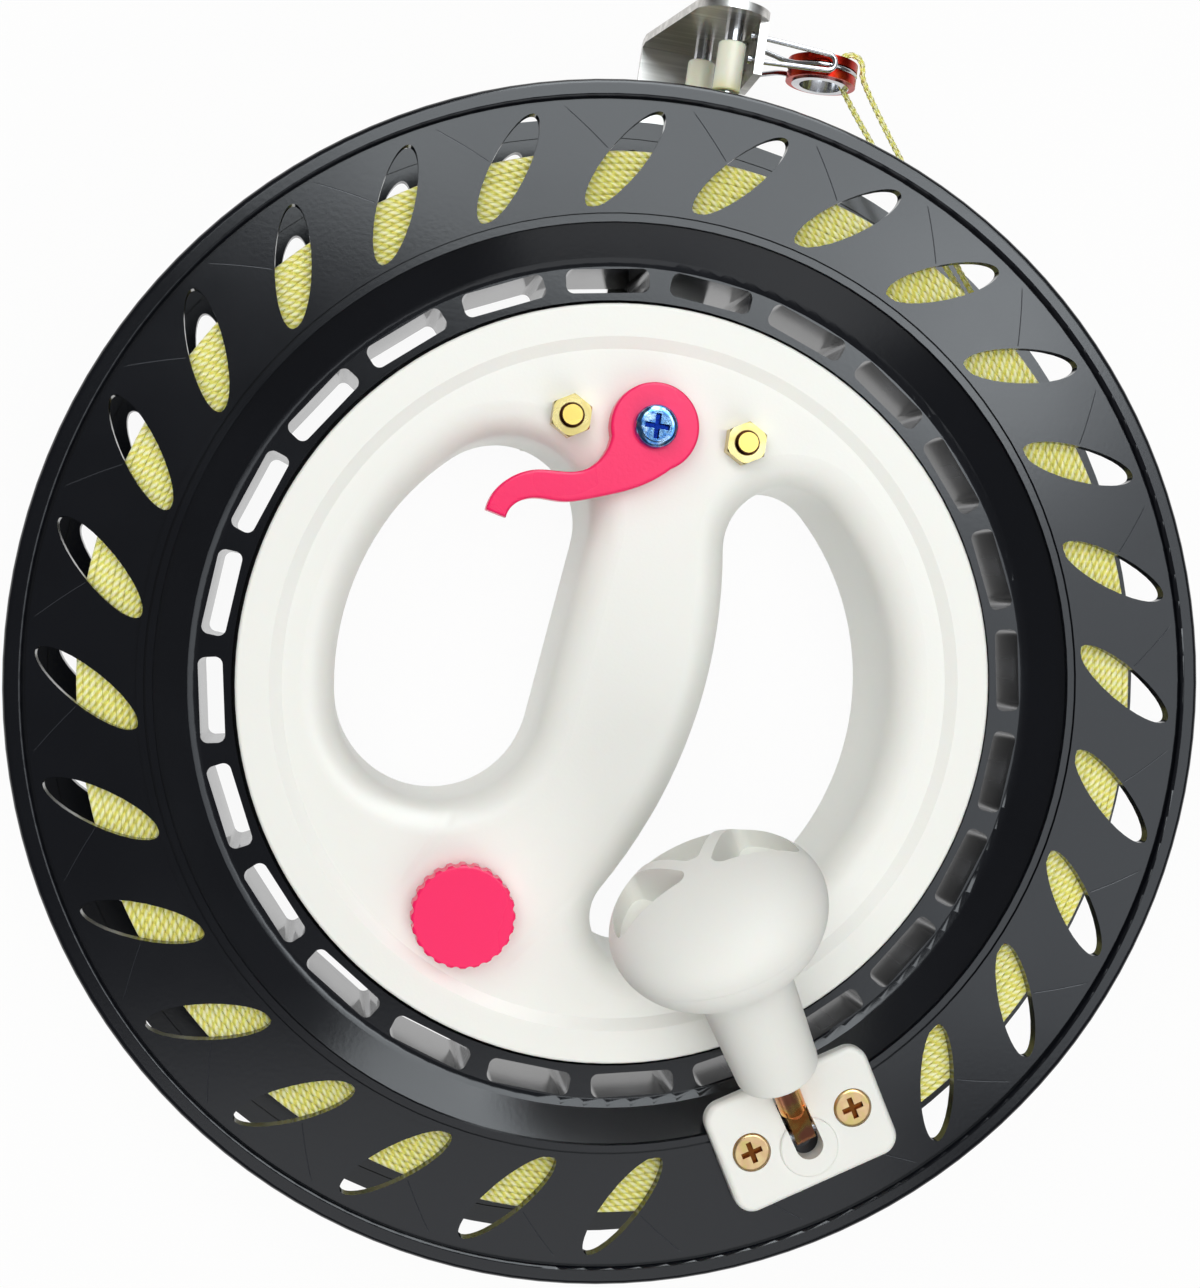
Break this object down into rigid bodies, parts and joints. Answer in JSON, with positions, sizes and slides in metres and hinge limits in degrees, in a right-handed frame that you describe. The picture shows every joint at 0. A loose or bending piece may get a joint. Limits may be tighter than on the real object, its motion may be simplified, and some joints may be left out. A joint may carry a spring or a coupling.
{
  "type": "kite line winder",
  "caption": "Round line winder: a flanged spool spins on a ball bearing round a two-hole hand grip, with folding crank knob, lock lever, brake knob and a line guide bracket.",
  "frame": {"origin": "on the spin axis at the hub's flat rear face, with the winder lying on its back", "axes": "+Z along the spin axis towards the crank side, +Y towards the guide bracket"},
  "size_m": [0.22, 0.238, 0.0795],
  "materials": {
    "black_plastic": "gloss",
    "white_plastic": "satin",
    "pink_plastic": "satin",
    "cream_plastic": "satin",
    "cage_plastic": "matte",
    "line": "twisted yarn",
    "zinc_steel": "zinc plated",
    "gold_zinc": "yellow passivated zinc",
    "blue_zinc": "blue passivated zinc",
    "bearing_steel": "polished",
    "spring_steel": "oiled",
    "stainless_steel": "brushed",
    "polished_steel": "polished",
    "red_anodised": "red anodised",
    "brake_rubber": "matte"
  },
  "bodies": {
    "hub": {"hub_front_shell": "white_plastic", "hub_rear_shell": "white_plastic", "hub_shell_screws": "zinc_steel", "guide_bracket": "stainless_steel", "bracket_bolts": "gold_zinc", "bracket_nuts": "gold_zinc", "roller_pins": "polished_steel", "snap_loop": "polished_steel", "ring_wire": "polished_steel", "guide_line": "line", "inner_race": "bearing_steel"},
    "spool": {"front_flange": "black_plastic", "rear_flange": "black_plastic", "spool_screws": "zinc_steel", "line_winding": "line", "outer_race": "bearing_steel", "bearing_clip": "spring_steel", "handle_base": "white_plastic", "handle_base_screws": "gold_zinc", "crank_pin": "spring_steel"},
    "bearing_cage": {"ball_cage": "cage_plastic", "bearing_balls": "bearing_steel"},
    "crank_arm": {"crank_shaft": "gold_zinc", "knob_snap_ring": "spring_steel"},
    "crank_grip": {"crank_knob": "white_plastic"},
    "lock": {"lock_lever": "pink_plastic", "lever_cam": "cream_plastic", "lever_screw": "blue_zinc", "lever_nut": "zinc_steel"},
    "pawl": {"lock_pawl": "cream_plastic"},
    "brake": {"brake_knob": "pink_plastic", "brake_cam": "cream_plastic", "brake_washer": "zinc_steel", "brake_cam_screw": "zinc_steel"},
    "brake_slide": {"brake_shoe": "cream_plastic", "brake_pad": "brake_rubber"},
    "rear_roller": {"guide_roller_rear": "cream_plastic"},
    "front_roller": {"guide_roller_front": "cream_plastic"},
    "ring": {"guide_ring": "red_anodised", "ring_eyelet": "polished_steel"}
  },
  "joints": [
    {"name": "spool_spin", "type": "hinge", "parent": "hub", "child": "spool", "pos_m": [0, 0, 0.02], "axis": [0, 0, 1], "continuous": true},
    {"name": "cage_spin", "type": "hinge", "parent": "hub", "child": "bearing_cage", "pos_m": [0, 0, 0.0195], "axis": [0, 0, 1], "continuous": true},
    {"name": "crank_fold", "type": "hinge", "parent": "spool", "child": "crank_arm", "pos_m": [0.04435, -0.07682, 0.0407], "axis": [0.8406, 0.5417, 0], "range_deg": [0, 67]},
    {"name": "knob_spin", "type": "hinge", "parent": "crank_arm", "child": "crank_grip", "pos_m": [0.04435, -0.07682, 0.0407], "axis": [-0.4986, 0.7737, 0.3907], "continuous": true},
    {"name": "lock_turn", "type": "hinge", "parent": "hub", "child": "lock", "pos_m": [-0.001, 0.0476, 0.0345], "axis": [0, 0, 1], "range_deg": [0, 40]},
    {"name": "pawl_slide", "type": "slide", "parent": "hub", "child": "pawl", "axis": [0, 1, 0], "range_m": [0, 0.00342]},
    {"name": "brake_turn", "type": "hinge", "parent": "hub", "child": "brake", "pos_m": [-0.0231, -0.0454, 0.0345], "axis": [0, 0, 1], "range_deg": [0, 180]},
    {"name": "brake_slide", "type": "slide", "parent": "hub", "child": "brake_slide", "axis": [-0.4535, -0.8912, 0], "range_m": [0, 0.001]},
    {"name": "rear_roller_spin", "type": "hinge", "parent": "hub", "child": "rear_roller", "pos_m": [0.0014, 0.1168, 0.0144], "axis": [0, 1, 0], "continuous": true},
    {"name": "front_roller_spin", "type": "hinge", "parent": "hub", "child": "front_roller", "pos_m": [0.0044, 0.1168, 0.0297], "axis": [0, 1, 0], "continuous": true},
    {"name": "ring_spin", "type": "hinge", "parent": "hub", "child": "ring", "pos_m": [0.0235, 0.121, 0.0225], "axis": [0, 1, 0], "continuous": true}
  ],
  "couplings": [
    {"joint": "cage_spin", "follows": "spool_spin", "ratio": 0.52308},
    {"joint": "pawl_slide", "follows": "lock_turn", "m_per_rad": 0.0048991},
    {"joint": "brake_slide", "follows": "brake_turn", "m_per_rad": 0.00031831}
  ]
}
